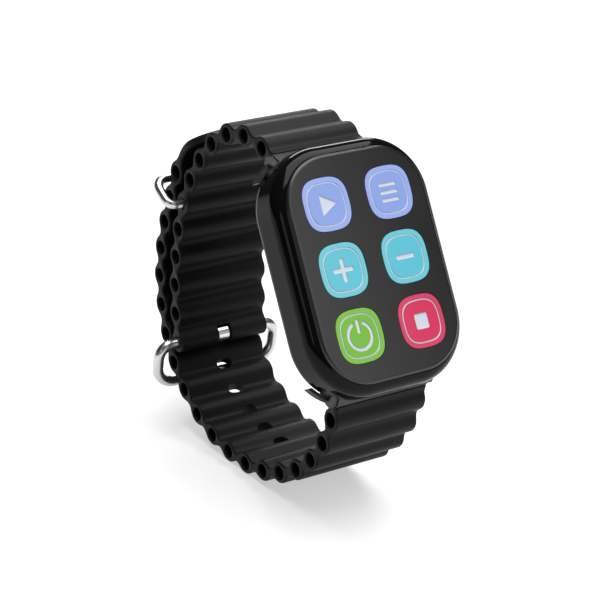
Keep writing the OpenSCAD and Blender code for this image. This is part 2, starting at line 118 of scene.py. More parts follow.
tilt = Matrix.Rotation(LEVEL_LEAN - LEAN, 3, "X")
level = Matrix.Rotation(CAMERA_TURN, 3, "Z") @ Matrix.Rotation(math.pi / 2 - CAMERA_HEIGHT, 3, "X")
turned = tilt @ level
aim = face + tilt @ CAMERA_AIM
stand = aim + turned @ Vector((0, 0, CAMERA_DISTANCE))

camera_data = bpy.data.cameras.new("camera")
camera_data.sensor_width = 36
camera_data.lens = 132
camera_data.clip_start = 0.01
camera = add_object("camera", camera_data)
camera.matrix_world = Matrix.Translation(stand) @ turned.to_4x4()
bpy.context.scene.camera = camera
print("camera at", [round(v, 3) for v in camera.matrix_world.translation])

# %% [markdown]
# The floor is pale and glows a little, so that shadows on it stay soft. It shows in glossy
# pieces, but it sends no light up to dull ones. The sky looks white to the camera and lights
# the object only dimly, as in a small product studio, and that keeps the rubber black. A
# small card stands where the panel mirrors it, and its edge makes the slow fade across the
# panel.

# %% Floor and sky
FLOOR_HALF = 3.0
FLOOR_TONE = 0.56
FLOOR_GLOW = 0.5
SKY_LIGHT = 0.06
SKY_SEEN = 1.0
SQUARE = [(-1, -1), (1, -1), (1, 1), (-1, 1)]
bpy.context.scene.view_settings.view_transform = "Standard"


def mesh_object(name, verts, faces):
    mesh = bpy.data.meshes.new(name)
    mesh.from_pydata([tuple(v) for v in verts], [], faces)
    mesh.validate()
    return add_object(name, mesh)


floor_corners = [(x * FLOOR_HALF, y * FLOOR_HALF, cad_box[0][2]) for x, y in SQUARE]
floor = mesh_object("floor", floor_corners, [(0, 1, 2, 3)])
floor_paint = bpy.data.materials.new("floor_paint")
floor_paint.use_nodes = True
floor_shader = floor_paint.node_tree.nodes["Principled BSDF"]
floor_shader.inputs["Base Color"].default_value = (FLOOR_TONE, FLOOR_TONE, FLOOR_TONE, 1)
floor_shader.inputs["Roughness"].default_value = 0.9
floor_shader.inputs["Specular IOR Level"].default_value = 0.1
floor_shader.inputs["Emission Color"].default_value = (1, 1, 1, 1)
floor_shader.inputs["Emission Strength"].default_value = FLOOR_GLOW
floor.data.materials.append(floor_paint)
floor.visible_diffuse = False

world = bpy.data.worlds.new("studio")
bpy.context.scene.world = world
world.use_nodes = True
sky = world.node_tree.nodes["Background"]
sky.inputs["Color"].default_value = (1.0, 1.0, 1.0, 1)
seen = world.node_tree.nodes.new("ShaderNodeLightPath")
glow = world.node_tree.nodes.new("ShaderNodeMapRange")
glow.inputs["To Min"].default_value = SKY_LIGHT
glow.inputs["To Max"].default_value = SKY_SEEN
world.node_tree.links.new(seen.outputs["Is Camera Ray"], glow.inputs["Value"])
world.node_tree.links.new(glow.outputs["Result"], sky.inputs["Strength"])
print("floor height in mm:", round(cad_box[0][2] / MM, 2))

# %% Lights
MIRROR_WAY = Vector((0.567, -0.692, 0.445))
CARD_DISTANCE = 0.2
CARD_SHIFT = Vector((-0.05, -0.02, 0))


def softbox(name, place_at, look_at, width, height, watts):
    data = bpy.data.lights.new(name, "AREA")
    data.shape = "RECTANGLE"
    data.size, data.size_y = width, height
    data.energy = watts
    light = add_object(name, data)
    light.location = place_at
    light.visible_camera = False
    light.rotation_euler = (Vector(look_at) - Vector(place_at)).to_track_quat("-Z", "Y").to_euler()


card = face + MIRROR_WAY * CARD_DISTANCE + CARD_SHIFT
LIGHTS = [
    # name, where it stands, where it looks, width, height, watts
    ("overhead", (0.2, -0.05, 1.3), (0, 0, 0), 1.3, 1.3, 27),
    ("panel_glow", (0.0, -0.30, 0.16), tuple(face), 0.16, 0.34, 0.17),
    ("panel_card", tuple(card), tuple(face), 0.1, 0.2, 0.11),
    ("left_front_card", (-0.5, -0.3, 0.28), (0, -0.02, 0.05), 0.15, 0.15, 0.12),
    ("back_strip", (0.4, 0.7, 0.42), (0, 0, 0.05), 0.5, 0.2, 2.1),
]
for one in LIGHTS:
    softbox(*one)
print("lights:", len(LIGHTS))

# %% [markdown]
# ## Finishes
# Moulded rubber and plastic are never one flat colour. Up close they show a fine grain from
# the mould, a slow drift in tone and shine, and a little dust. These effects are shared, so
# each is one node group with its own sizes, placed in every material that needs it. The
# groups give out plain numbers only, and each material keeps its own shader. A fineness is
# in grains to the metre.

# %% Shared grain, dust and brush groups
GRAIN_SIZES = [("Fineness", 2600.0), ("Drift", 60.0)]
SPECK_FINENESS, SPECK_LIMIT, SPECK_SHARE = 1800.0, 0.69, 0.5
HAZE_FINENESS, HAZE_POWER = 140.0, 2.0
BRUSH_FINENESS = 900.0
BRUSH_STRETCH = (0.04, 1.0, 1.0)


def value_group(name, sizes, results):
    group = bpy.data.node_groups.new(name, "ShaderNodeTree")
    for label, start in sizes:
        socket = group.interface.new_socket(label, in_out="INPUT", socket_type="NodeSocketFloat")
        socket.default_value = start
    for label in results:
        group.interface.new_socket(label, in_out="OUTPUT", socket_type="NodeSocketFloat")
    enter = group.nodes.new("NodeGroupInput")
    leave = group.nodes.new("NodeGroupOutput")
    return group, enter, leave


def join(tree, a, b):
    tree.links.new(a, b)


def feed(tree, given, socket):
    """Joins another node's output to a socket, or sets the socket to a plain value."""
    if isinstance(given, bpy.types.NodeSocket):
        join(tree, given, socket)
    else:
        socket.default_value = given


def maths(tree, kind, *values):
    step = tree.nodes.new("ShaderNodeMath")
    step.operation = kind
    for socket, given in zip(step.inputs, values):
        feed(tree, given, socket)
    return step.outputs[0]


def object_point(tree):
    return tree.nodes.new("ShaderNodeTexCoord").outputs["Object"]


def noise(tree, where, scale, detail=3.0):
    cloud = tree.nodes.new("ShaderNodeTexNoise")
    cloud.inputs["Detail"].default_value = detail
    join(tree, where, cloud.inputs["Vector"])
    feed(tree, scale, cloud.inputs["Scale"])
    return cloud.outputs[0]


grain_group, enter, leave = value_group("mould_grain", GRAIN_SIZES, ["Height", "Tone"])
spot = object_point(grain_group)
fine = noise(grain_group, spot, enter.outputs["Fineness"])
slow = noise(grain_group, spot, enter.outputs["Drift"], detail=2.0)
join(grain_group, fine, leave.inputs["Height"])
join(grain_group, slow, leave.inputs["Tone"])

dust_group, enter, leave = value_group("settled_dust", [("Amount", 0.1)], ["Dust"])
spot = object_point(dust_group)
specks = maths(dust_group, "GREATER_THAN", noise(dust_group, spot, SPECK_FINENESS, detail=1.0), SPECK_LIMIT)
haze = maths(dust_group, "POWER", noise(dust_group, spot, HAZE_FINENESS), HAZE_POWER)
both = maths(dust_group, "ADD", maths(dust_group, "MULTIPLY", specks, SPECK_SHARE), haze)
settled = maths(dust_group, "MULTIPLY", both, enter.outputs["Amount"])
join(dust_group, settled, leave.inputs["Dust"])

brush_group, enter, leave = value_group("brush_lines", [("Fineness", BRUSH_FINENESS)], ["Height"])
stretch = brush_group.nodes.new("ShaderNodeMapping")
stretch.inputs["Scale"].default_value = BRUSH_STRETCH
join(brush_group, object_point(brush_group), stretch.inputs["Vector"])
strokes = noise(brush_group, stretch.outputs[0], enter.outputs["Fineness"], detail=5.0)
join(brush_group, strokes, leave.inputs["Height"])
print("shared groups:", grain_group.name, dust_group.name, brush_group.name)

# %% One helper for a finish
DUST_COLOUR = (0.55, 0.54, 0.52, 1)
DUST_TINT = 0.25
DUST_ROUGHNESS = 0.6
SHINE_DRIFT, SHINE_LEAST = 0.3, 0.85
BUMP_HEIGHT = 0.02 * MM


def shared(tree, group):
    node = tree.nodes.new("ShaderNodeGroup")
    node.node_tree = group
    return node


def mix(tree, factor, a, b):
    """A colour between a and b, which are plain colours or other nodes' outputs."""
    blend = tree.nodes.new("ShaderNodeMix")
    blend.data_type = "RGBA"
    feed(tree, factor, blend.inputs["Factor"])
    feed(tree, a, blend.inputs["A"])
    feed(tree, b, blend.inputs["B"])
    return blend.outputs["Result"]


def finish(name, colour, rough, fineness, bump, drift, dust, metal=0.0, coat=0.0, coat_rough=0.05,
           specular=0.5, brushed=False):
    paint = bpy.data.materials.new(name)
    paint.use_nodes = True
    tree = paint.node_tree
    shader = tree.nodes["Principled BSDF"]
    grain = shared(tree, grain_group)
    grain.inputs["Fineness"].default_value = fineness
    dusty = shared(tree, dust_group)
    dusty.inputs["Amount"].default_value = dust

    darker = [c * (1 - drift) for c in colour] + [1]
    lighter = [min(1.0, c * (1 + drift)) for c in colour] + [1]
    tone = mix(tree, grain.outputs["Tone"], darker, lighter)
    powder = maths(tree, "MULTIPLY", dusty.outputs["Dust"], DUST_TINT)
    join(tree, mix(tree, powder, tone, DUST_COLOUR), shader.inputs["Base Color"])

    shine = maths(tree, "MULTIPLY_ADD", grain.outputs["Tone"], rough * SHINE_DRIFT, rough * SHINE_LEAST)
    dulled = maths(tree, "MULTIPLY_ADD", dusty.outputs["Dust"], DUST_ROUGHNESS, shine)
    join(tree, dulled, shader.inputs["Roughness"])
    relief = tree.nodes.new("ShaderNodeBump")
    relief.inputs["Distance"].default_value = BUMP_HEIGHT
    relief.inputs["Strength"].default_value = bump
    surface = shared(tree, brush_group) if brushed else grain
    join(tree, surface.outputs["Height"], relief.inputs["Height"])
    join(tree, relief.outputs[0], shader.inputs["Normal"])
    shader.inputs["Metallic"].default_value = metal
    shader.inputs["Specular IOR Level"].default_value = specular
    shader.inputs["Coat Weight"].default_value = coat
    shader.inputs["Coat Roughness"].default_value = coat_rough
    return paint


def paint_all(piece, paint):
    piece.data.materials.clear()
    piece.data.materials.append(paint)


# %% The finishes of the case, band and inner parts
DULL = {"specular": 0.12}
STEEL = {"metal": 1.0}
BRUSHED = {"metal": 1.0, "brushed": True}
FINISHES = [
    # name, colour, roughness, fineness, bump, drift in tone, dust, the rest
    ("band_rubber", (0.010, 0.010, 0.011), 0.46, 3200, 0.35, 0.15, 0.03, DULL),
    ("case_gloss", (0.003, 0.003, 0.0035), 0.09, 900, 0.01, 0.1, 0.01, DULL),
    ("panel_gloss", (0.005, 0.005, 0.006), 0.3, 1200, 0.01, 0.1, 0.03, {}),
    ("cover_grey", (0.28, 0.28, 0.3), 0.42, 3000, 0.3, 0.08, 0.1, {}),
    ("lug_black", (0.012, 0.012, 0.012), 0.4, 2800, 0.25, 0.1, 0.05, {}),
    ("seal_grey", (0.1, 0.1, 0.1), 0.7, 2600, 0.4, 0.12, 0.05, {}),
    ("pad_foam", (0.12, 0.12, 0.12), 0.95, 1500, 1.0, 0.3, 0.05, {}),
    ("ring_steel", (0.6, 0.6, 0.61), 0.27, 900, 0.04, 0.05, 0.02, STEEL),
    ("tongue_steel", (0.75, 0.75, 0.76), 0.25, 900, 0.4, 0.05, 0.02, BRUSHED),
    ("screw_steel", (0.55, 0.55, 0.55), 0.32, 1500, 0.4, 0.1, 0.05, BRUSHED),
    ("board_green", (0.012, 0.11, 0.04), 0.32, 1400, 0.5, 0.25, 0.05, {}),
    ("chip_black", (0.02, 0.02, 0.02), 0.6, 2400, 0.5, 0.1, 0.05, {}),
    ("radio_can", (0.6, 0.6, 0.58), 0.35, 1300, 0.3, 0.1, 0.05, BRUSHED),
    ("sounder_black", (0.015, 0.015, 0.015), 0.5, 2000, 0.4, 0.12, 0.05, {}),
    ("switch_white", (0.72, 0.71, 0.67), 0.45, 2400, 0.2, 0.06, 0.05, {}),
    ("plunger_brown", (0.2, 0.08, 0.03), 0.5, 2400, 0.2, 0.1, 0.05, {}),
    ("battery_film", (0.62, 0.62, 0.64), 0.4, 700, 0.6, 0.1, 0.05, {"metal": 0.8}),
    ("contact_gold", (0.83, 0.6, 0.24), 0.25, 1500, 0.2, 0.06, 0.05, STEEL),
]
paints = {name: finish(name, *look, **rest) for name, *look, rest in FINISHES}
print("finishes:", len(paints))

# %% [markdown]
# ## Printed keys
# Each key is a soft square cap with a fine engraved line and a sign. The engraving is filled
# with pale ink, and the rim outside the line has its own tone. All of this follows from the
# key's shape, so the paint is worked out in the key's own axes: how far a point lies from
# the middle in the soft-square measure, and how deep it lies below the face.

# %% Key finish
KEY_SPACING = Vector((15.3, 13.4)) * MM
LINE_HALF = 4.45
INK_MARGIN = 0.15
INK_DEPTH = 0.09
INK = (0.6, 0.64, 0.72, 1)
SQUARENESS = 3.0


def key_finish(name, colour, rim, column, row):
    paint = finish(name, colour, rough=0.34, fineness=2600, bump=0.1, drift=0.06, dust=0.03,
                   coat=0.25, coat_rough=0.2)
    tree = paint.node_tree
    shader = tree.nodes["Principled BSDF"]
    own = tree.nodes.new("ShaderNodeMapping")
    own.vector_type = "TEXTURE"
    own.inputs["Location"].default_value = place(column * KEY_SPACING.x / 2, row * KEY_SPACING.y, 0)
    own.inputs["Rotation"].default_value = (math.pi / 2 - LEAN, 0, 0)
    own.inputs["Scale"].default_value = (MM, MM, MM)
    join(tree, object_point(tree), own.inputs["Vector"])
    axes = tree.nodes.new("ShaderNodeSeparateXYZ")
    join(tree, own.outputs[0], axes.inputs[0])
    spans = [maths(tree, "ABSOLUTE", axes.outputs[i]) for i in (0, 1)]
    powers = [maths(tree, "POWER", span, SQUARENESS) for span in spans]
    spread = maths(tree, "POWER", maths(tree, "ADD", *powers), 1 / SQUARENESS)
    inside = maths(tree, "LESS_THAN", spread, LINE_HALF + INK_MARGIN)
    sunk = maths(tree, "LESS_THAN", axes.outputs[2], -INK_DEPTH)
    outside_line = maths(tree, "GREATER_THAN", spread, LINE_HALF)

    plain = shader.inputs["Base Color"].links[0].from_socket
    rimmed = mix(tree, outside_line, plain, (*rim, 1))
    printed = mix(tree, maths(tree, "MULTIPLY", inside, sunk), rimmed, INK)
    join(tree, printed, shader.inputs["Base Color"])
    return paint


BLUE, BLUE_RIM = (0.23, 0.34, 0.72), (0.28, 0.38, 0.78)
CYAN, CYAN_RIM = (0.09, 0.5, 0.62), (0.13, 0.53, 0.62)
GREEN, GREEN_RIM = (0.14, 0.45, 0.015), (0.17, 0.45, 0.03)
RED, RED_RIM = (0.62, 0.014, 0.09), (0.6, 0.035, 0.11)
KEYS = [
    # name, colour, rim, column, row
    ("program", BLUE, BLUE_RIM, -1, 1),
    ("mode", BLUE, BLUE_RIM, 1, 1),
    ("plus", CYAN, CYAN_RIM, -1, 0),
    ("minus", CYAN, CYAN_RIM, 1, 0),
    ("power", GREEN, GREEN_RIM, -1, -1),
    ("stop", RED, RED_RIM, 1, -1),
]
for name, *look in KEYS:
    paint_all(nodes["key_" + name], key_finish("key_" + name, *look))
    paint_all(nodes["switch_" + name], paints["switch_white"])
    paint_all(nodes["plunger_" + name], paints["plunger_brown"])
print("keys painted:", len(KEYS))

# %% Finishes on the carried-over pieces
CARRIED = {
    "front_housing": "case_gloss",
    "front_panel": "panel_gloss",
    "back_cover": "cover_grey",
    "case_seal": "seal_grey",
    "circuit_board": "board_green",
    "microcontroller": "chip_black",
    "radio_module": "radio_can",
    "antenna": "contact_gold",
    "sounder": "sounder_black",
    "battery": "battery_film",
    "battery_pad": "pad_foam",
    "charge_pins": "contact_gold",
    "lug_top": "lug_black",
    "lug_bottom": "lug_black",
    "buckle_tongue": "tongue_steel",
}
for node, name in CARRIED.items():
    paint_all(nodes[node], paints[name])
print("other carried-over pieces:", len(CARRIED))

# %% [markdown]
# ## The band
# The band is silicone rubber, moulded with hollow ribs so that it can stretch. From the side
# it is a smooth wave that follows a chain of round bends, and every rib has a hole right
# across. It could be a curve with a bevel, but the holes have to keep their own rounded lips.
# So the side view is worked out first, then it is stacked in thin layers that shrink towards
# each face, which rounds the edges as a mould does. The band's sizes are in millimetres.

# %% The line the band follows
BAND_WIDTH = 22.5
RIB_PITCH = 6.7
RIB_THICK = 4.6
NECK_THICK = 2.0
ROOT_THICK = 2.6
TIP_THICK = 1.6
VALLEY_POWER = 1.4
ROOT_HEADING = 45.5
ROOT_LENGTH = 7.5
BAND_START = -4.0
SEAT = (22.9, 7.5)
SHORT_BENDS = [(19.4, 59), (41, 38), (72, 30)]
LONG_BENDS = [(28.5, 40), (38.5, 50.5), (30.6, 61.7), (40, 30), (200, 4.7), (10, 31), (60, 20)]
SHORT_RIBS = 12
LONG_RIBS = 19
TIP_LENGTH = 15.4


def along(bends, s):
    """Point (up, deep) and heading at length s along a band half. A bend is (radius, degrees)."""
    heading = math.radians(ROOT_HEADING)
    start = ROOT_LENGTH + min(s, 0)
    up = SEAT[0] + start * math.sin(heading)
    deep = SEAT[1] + start * math.cos(heading)
    left = max(s, 0)
    for index, (radius, sweep) in enumerate(bends):
        turn = left / radius
        if index < len(bends) - 1:
            turn = min(turn, math.radians(sweep))
        up += radius * (math.cos(heading - turn) - math.cos(heading))
        deep += radius * (math.sin(heading) - math.sin(heading - turn))
        heading -= turn
        left -= turn * radius
    return up, deep, heading


def outward(spot, distance):
    up, deep, heading = spot
    return up + distance * math.cos(heading), deep - distance * math.sin(heading)


def rib_at(number):
    return (number - 1) * RIB_PITCH


def wave(s):
    dip = (0.5 - 0.5 * math.cos(2 * math.pi * s / RIB_PITCH)) ** VALLEY_POWER
    return NECK_THICK + (RIB_THICK - NECK_THICK) * (1 - dip)


def short_thick(s):
    return max(wave(s), ROOT_THICK) if s < 0 else wave(s)


def long_thick(s):
    if s <= rib_at(LONG_RIBS):
        return short_thick(s)
    return max(wave(s), TIP_THICK) if s < rib_at(LONG_RIBS + 0.5) else TIP_THICK


print("band lengths in mm:", rib_at(SHORT_RIBS), rib_at(LONG_RIBS) + TIP_LENGTH)

# %% Stack one half of the band
LIP = 0.4
LIP_TURNS = (90, 60, 30, 0)
BORE_LIP_SHARE = 0.6
RIB_STEPS = 20
BORE_SIDES = 28
ROUND_END_STEP = 10


def circle(sides, radius, centre=(0, 0)):
    turns = [2 * math.pi * i / sides for i in range(sides)]
    return [(centre[0] + radius * math.cos(t), centre[1] + radius * math.sin(t)) for t in turns]


def inset(loop, distance):
    """The loop moved towards its inside by the distance at every point."""
    moved = []
    for index, here in enumerate(loop):
        before, after = loop[index - 1], loop[(index + 1) % len(loop)]
        run = (Vector(after) - Vector(before)).normalized()
        moved.append((here[0] - distance * run[1], here[1] + distance * run[0]))
    return moved


def side_loops(outline, bores, pinch):
    """The outline drawn in by the pinch, and the bores opened by a share of it."""
    opened = [circle(BORE_SIDES, radius + BORE_LIP_SHARE * pinch, centre) for centre, radius in bores]
    return [inset(outline, pinch)] + opened


def bridge(shape, near, far):
    """Joins two loops that have as many points with a strip of faces."""
    for i in range(len(near)):
        j = (i + 1) % len(near)
        shape.faces.new((near[i], near[j], far[j], far[i]))


def solid(name, shape):
    """Turns a closed bmesh into an object whose faces all point outward."""
    shape.normal_update()
    bmesh.ops.recalc_face_normals(shape, faces=shape.faces)
    if shape.calc_volume(signed=True) < 0:
        bmesh.ops.reverse_faces(shape, faces=shape.faces)
    mesh = bpy.data.meshes.new(name)
    shape.to_mesh(mesh)
    shape.free()
    return add_object(name, mesh)


def signed_area(loop):
    return sum(a[0] * b[1] - b[0] * a[1] for a, b in zip(loop, loop[1:] + loop[:1])) / 2


def stacked(name, outline, bores, side):
    """A solid with this side view, rounded lips and bores right across. side mirrors up."""
    if signed_area(outline) < 0:
        outline = outline[::-1]
    turns = [math.radians(t) for t in LIP_TURNS]
    layers = [(BAND_WIDTH / 2 - LIP + LIP * math.sin(t), LIP * (1 - math.cos(t))) for t in turns]
    layers += [(-across, pinch) for across, pinch in reversed(layers)]
    shape = bmesh.new()
    rows = []
    for across, pinch in layers:
        loops = side_loops(outline, bores, pinch)
        rows.append([[shape.verts.new(place(across * MM, side * p[0] * MM, p[1] * MM)) for p in loop]
                     for loop in loops])
    for near, far in zip(rows, rows[1:]):
        for a, b in zip(near, far):
            bridge(shape, a, b)
    flat_loops = [[Vector((*p, 0)) for p in loop] for loop in side_loops(outline, bores, LIP)]
    triangles = tessellate_polygon(flat_loops)
    for row in (rows[0], rows[-1]):
        corners = [v for loop in row for v in loop]
        for triangle in triangles:
            shape.faces.new([corners[k] for k in triangle])
    return solid(name, shape)


def side_view(bends, thick, end, round_end):
    count = round((end - BAND_START) / RIB_PITCH * RIB_STEPS)
    stops = [BAND_START + (end - BAND_START) * i / count for i in range(count + 1)]
    outer = [outward(along(bends, s), thick(s) / 2) for s in stops]
    inner = [outward(along(bends, s), -thick(s) / 2) for s in stops]
    tip = []
    if round_end:
        up, deep, heading = along(bends, end)
        turns = [math.radians(t) for t in range(ROUND_END_STEP, 180, ROUND_END_STEP)]
        tip = [outward((up, deep, heading - t), thick(end) / 2) for t in turns]
    return outer + tip + inner[::-1]


print("layers in each half:", 2 * len(LIP_TURNS))

# %% [markdown]
# The adjusting holes, the tongue's slot and the round free end are cut afterwards with a
# Boolean, because they run through the band's thickness, not across its width. The cutters
# are short prisms set square to the band at each valley.

# %% Cutters
CUT_REACH = 5.0


def prism(shape, spot, outline, side):
    """Adds a prism through the band at a spot. The outline is a list of (across, forward)."""
    up, deep, heading = spot
    ends = []
    for lift in (-CUT_REACH, CUT_REACH):
        row = []
        for across, forward in outline:
            u = up + forward * math.sin(heading) + lift * math.cos(heading)
            d = deep + forward * math.cos(heading) - lift * math.sin(heading)
            row.append(shape.verts.new(place(across * MM, side * u * MM, d * MM)))
        ends.append(row)
    near, far = ends
    shape.faces.new(near)
    shape.faces.new(far[::-1])
    bridge(shape, far, near)


def arc(centre, radius, start, stop, steps):
    turns = [math.radians(start + (stop - start) * i / steps) for i in range(steps + 1)]
    return [(centre[0] + radius * math.cos(t), centre[1] + radius * math.sin(t)) for t in turns]


def made_mesh(thing):
    """The mesh that an object's modifiers make."""
    view = bpy.context.evaluated_depsgraph_get()
    return bpy.data.meshes.new_from_object(thing.evaluated_get(view))


def settle(piece):
    """Replaces the piece's mesh with what its modifiers make, and removes them."""
    mesh = made_mesh(piece)
    piece.modifiers.clear()
    piece.data = mesh


def take_out(piece, tool):
    knife = piece.modifiers.new("cut", "BOOLEAN")
    knife.operation = "DIFFERENCE"
    knife.solver = "MANIFOLD"
    knife.object = tool
    settle(piece)
    bpy.data.objects.remove(tool)


def cut(piece, name, prisms):
    """Takes a list of (spot, outline, side) prisms out of a piece."""
    shape = bmesh.new()
    for spot, outline, side in prisms:
        prism(shape, spot, outline, side)
    take_out(piece, solid(name, shape))


def soften(piece, angle):
    """Smooth shading that keeps flat faces flat and edges over the angle sharp."""
    piece.data.shade_smooth()
    piece.data.set_sharp_from_angle(angle=math.radians(angle))
    weigh = piece.modifiers.new("even_shading", "WEIGHTED_NORMAL")
    weigh.keep_sharp = True
    settle(piece)


def triangle_count(piece):
    return sum(len(p.vertices) - 2 for p in piece.data.polygons)


print("cutters reach", CUT_REACH, "mm to each side")

# %% Both band halves
RIB_BORE = 1.5
BAR_FIT = 0.06
BUCKLE_WIRE = 1.2
KEEPER_WIRE = 1.05
KEEPER_RIB = 7
SLOT_HALF, SLOT_START, SLOT_END = 1.7, -2.2, 6
HOLE_LENGTH, HOLE_WIDTH, HOLE_SHIFT, HOLE_STEPS = 3.8, 2.4, 0.5, 10
FIRST_HOLE, LAST_HOLE = 7, 17
TIP_ROUND, TIP_STEPS, TIP_MARGIN = 8.0, 16, 1
BAND_SHARP_ANGLE = 38


def rib_bores(bends, count, special):
    return [(along(bends, rib_at(n))[:2], special.get(n, RIB_BORE)) for n in range(1, count + 1)]


bar_ribs = {KEEPER_RIB: KEEPER_WIRE + BAR_FIT, SHORT_RIBS: BUCKLE_WIRE + BAR_FIT}
short_side = side_view(SHORT_BENDS, short_thick, rib_at(SHORT_RIBS), True)
band_short = stacked("band_short", short_side, rib_bores(SHORT_BENDS, SHORT_RIBS, bar_ribs), 1)
slot_outline = [(-SLOT_HALF, SLOT_START), (SLOT_HALF, SLOT_START)]
slot_outline += [(SLOT_HALF, SLOT_END), (-SLOT_HALF, SLOT_END)]
cut(band_short, "slot_cutter", [(along(SHORT_BENDS, rib_at(SHORT_RIBS)), slot_outline, 1)])

tail_end = rib_at(LONG_RIBS) + TIP_LENGTH
long_side = side_view(LONG_BENDS, long_thick, tail_end, False)
band_long = stacked("band_long", long_side, rib_bores(LONG_BENDS, LONG_RIBS, {}), -1)
straight = (HOLE_LENGTH - HOLE_WIDTH) / 2
hole = arc((HOLE_SHIFT + straight, 0), HOLE_WIDTH / 2, -90, 90, HOLE_STEPS)
hole += arc((HOLE_SHIFT - straight, 0), HOLE_WIDTH / 2, 90, 270, HOLE_STEPS)
valleys = [along(LONG_BENDS, rib_at(n + 0.5)) for n in range(FIRST_HOLE, LAST_HOLE + 1)]
cut(band_long, "hole_cutter", [(valley, hole, -1) for valley in valleys])

edge = BAND_WIDTH / 2
tip_x, tip_y = edge + TIP_MARGIN, TIP_ROUND + TIP_MARGIN
corner = arc((edge - TIP_ROUND, 0), TIP_ROUND, 0, 90, TIP_STEPS)
corner += [(edge - TIP_ROUND, tip_y), (tip_x, tip_y), (tip_x, 0)]
mirror_corner = [(-x, y) for x, y in corner][::-1]
end_spot = along(LONG_BENDS, tail_end - TIP_ROUND)
cut(band_long, "tip_cutter", [(end_spot, corner, -1), (end_spot, mirror_corner, -1)])

for piece, node in ((band_short, "strap_short"), (band_long, "strap_long")):
    soften(piece, BAND_SHARP_ANGLE)
    paint_all(piece, paints["band_rubber"])
    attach(piece, "case_and_band")
    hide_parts(node)
    print(piece.name, "triangles:", triangle_count(piece))

# %% [markdown]
# ## The wire rings
# Both rings are polished steel wire, bent into a closed loop round the band. A wire is a
# round section that follows a path, which is what Geometry Nodes' Curve to Mesh does. The
# path is drawn once as a curve, and the node tree sweeps it, smooths it and gives it steel.

# %% A node tree that bends wire


def geometry_tree(name, extras):
    """A node tree with these inputs beside its geometry, and the keys that set them."""
    tree = bpy.data.node_groups.new(name, "GeometryNodeTree")
    tree.interface.new_socket("Geometry", in_out="INPUT", socket_type="NodeSocketGeometry")
    keys = {}
    for label, kind in extras:
        socket = tree.interface.new_socket(label, in_out="INPUT", socket_type="NodeSocket" + kind)
        keys[label] = socket.identifier
    tree.interface.new_socket("Geometry", in_out="OUTPUT", socket_type="NodeSocketGeometry")
    return tree, keys


def join_all(tree, joins):
    """Joins the outputs and inputs in rows of (from node, output, to node, input)."""
    for start, result, end, entry in joins:
        join(tree, start.outputs[result], end.inputs[entry])


WIRE_INPUTS = [("Wire Radius", "Float"), ("Wire Sides", "Int"), ("Steel", "Material")]
wire_tree, wire_keys = geometry_tree("bent_wire", WIRE_INPUTS)
enter, leave = wire_tree.nodes.new("NodeGroupInput"), wire_tree.nodes.new("NodeGroupOutput")
section = wire_tree.nodes.new("GeometryNodeCurvePrimitiveCircle")
sweep = wire_tree.nodes.new("GeometryNodeCurveToMesh")
smooth = wire_tree.nodes.new("GeometryNodeSetShadeSmooth")
real = wire_tree.nodes.new("GeometryNodeRealizeInstances")
coat = wire_tree.nodes.new("GeometryNodeSetMaterial")
join_all(wire_tree, [
    (enter, "Wire Radius", section, "Radius"),
    (enter, "Wire Sides", section, "Resolution"),
    (enter, "Geometry", sweep, "Curve"),
    (section, "Curve", sweep, "Profile Curve"),
    (sweep, "Mesh", smooth, "Geometry"),
    (smooth, "Geometry", real, "Geometry"),
    (real, "Geometry", coat, "Geometry"),
    (enter, "Steel", coat, "Material"),
    (coat, "Geometry", leave, "Geometry"),
])
print("wire tree nodes:", len(wire_tree.nodes))

# %% Both rings
RING_SLIDE = 0.6
RING_LIFT = 0.45
RING_END_GAP = 0.1
RING_FLAT = BAND_WIDTH / 2 + RING_END_GAP + RING_SLIDE
NEAR_STEPS, FAR_STEPS = 14, 18
WIRE_SIDES = 40
BUCKLE_VALLEY, BUCKLE_BENDS = 11.5, (3.2, 4.6)
KEEPER_VALLEY, KEEPER_BENDS = 18.5, (2.0, 3.2)


def bar_over(valley, wire):
    """Where an outer bar lies over a valley of the long half, as (up, deep)."""
    up, deep = outward(along(LONG_BENDS, rib_at(valley)), NECK_THICK / 2 + RING_LIFT + wire)
    return -up, deep


def bent_ring(name, rib, valley, wire, bends, body, node):
    """A ring from a bore in the short half to a bar over the long half."""
    bore = Vector(along(SHORT_BENDS, rib_at(rib))[:2])
    reach = Vector(bar_over(valley, wire)) - bore
    length = reach.length
    way = reach / length
    near_bend, far_bend = bends
    far_centre = (RING_FLAT + near_bend - far_bend, length - far_bend)
    right = arc((RING_FLAT, near_bend), near_bend, -90, 0, NEAR_STEPS)
    right += arc(far_centre, far_bend, 0, 90, FAR_STEPS)
    path = right + [(-x, y) for x, y in reversed(right)]
    curve = bpy.data.curves.new(name + "_path", "CURVE")
    curve.dimensions = "3D"
    line = curve.splines.new("POLY")
    line.points.add(len(path) - 1)
    for point, (across, forward) in zip(line.points, path):
        spot = bore + way * forward
        point.co = (*place((across - RING_SLIDE) * MM, spot[0] * MM, spot[1] * MM), 1)
    line.use_cyclic_u = True
    wire_path = add_object(name + "_path", curve)
    bend = wire_path.modifiers.new("bend", "NODES")
    bend.node_group = wire_tree
    bend[wire_keys["Wire Radius"]] = wire * MM
    bend[wire_keys["Wire Sides"]] = WIRE_SIDES
    bend[wire_keys["Steel"]] = paints["ring_steel"]
    mesh = made_mesh(wire_path)
    bpy.data.objects.remove(wire_path)
    ring = add_object(name, mesh)
    paint_all(ring, paints["ring_steel"])
    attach(ring, body)
    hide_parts(node)
    print(name, "faces:", len(mesh.polygons), "length in mm:", round(length, 2))


bent_ring("buckle_wire", SHORT_RIBS, BUCKLE_VALLEY, BUCKLE_WIRE, BUCKLE_BENDS, "buckle", "buckle_frame")
bent_ring("keeper_wire", KEEPER_RIB, KEEPER_VALLEY, KEEPER_WIRE, KEEPER_BENDS, "keeper", "keeper_ring")

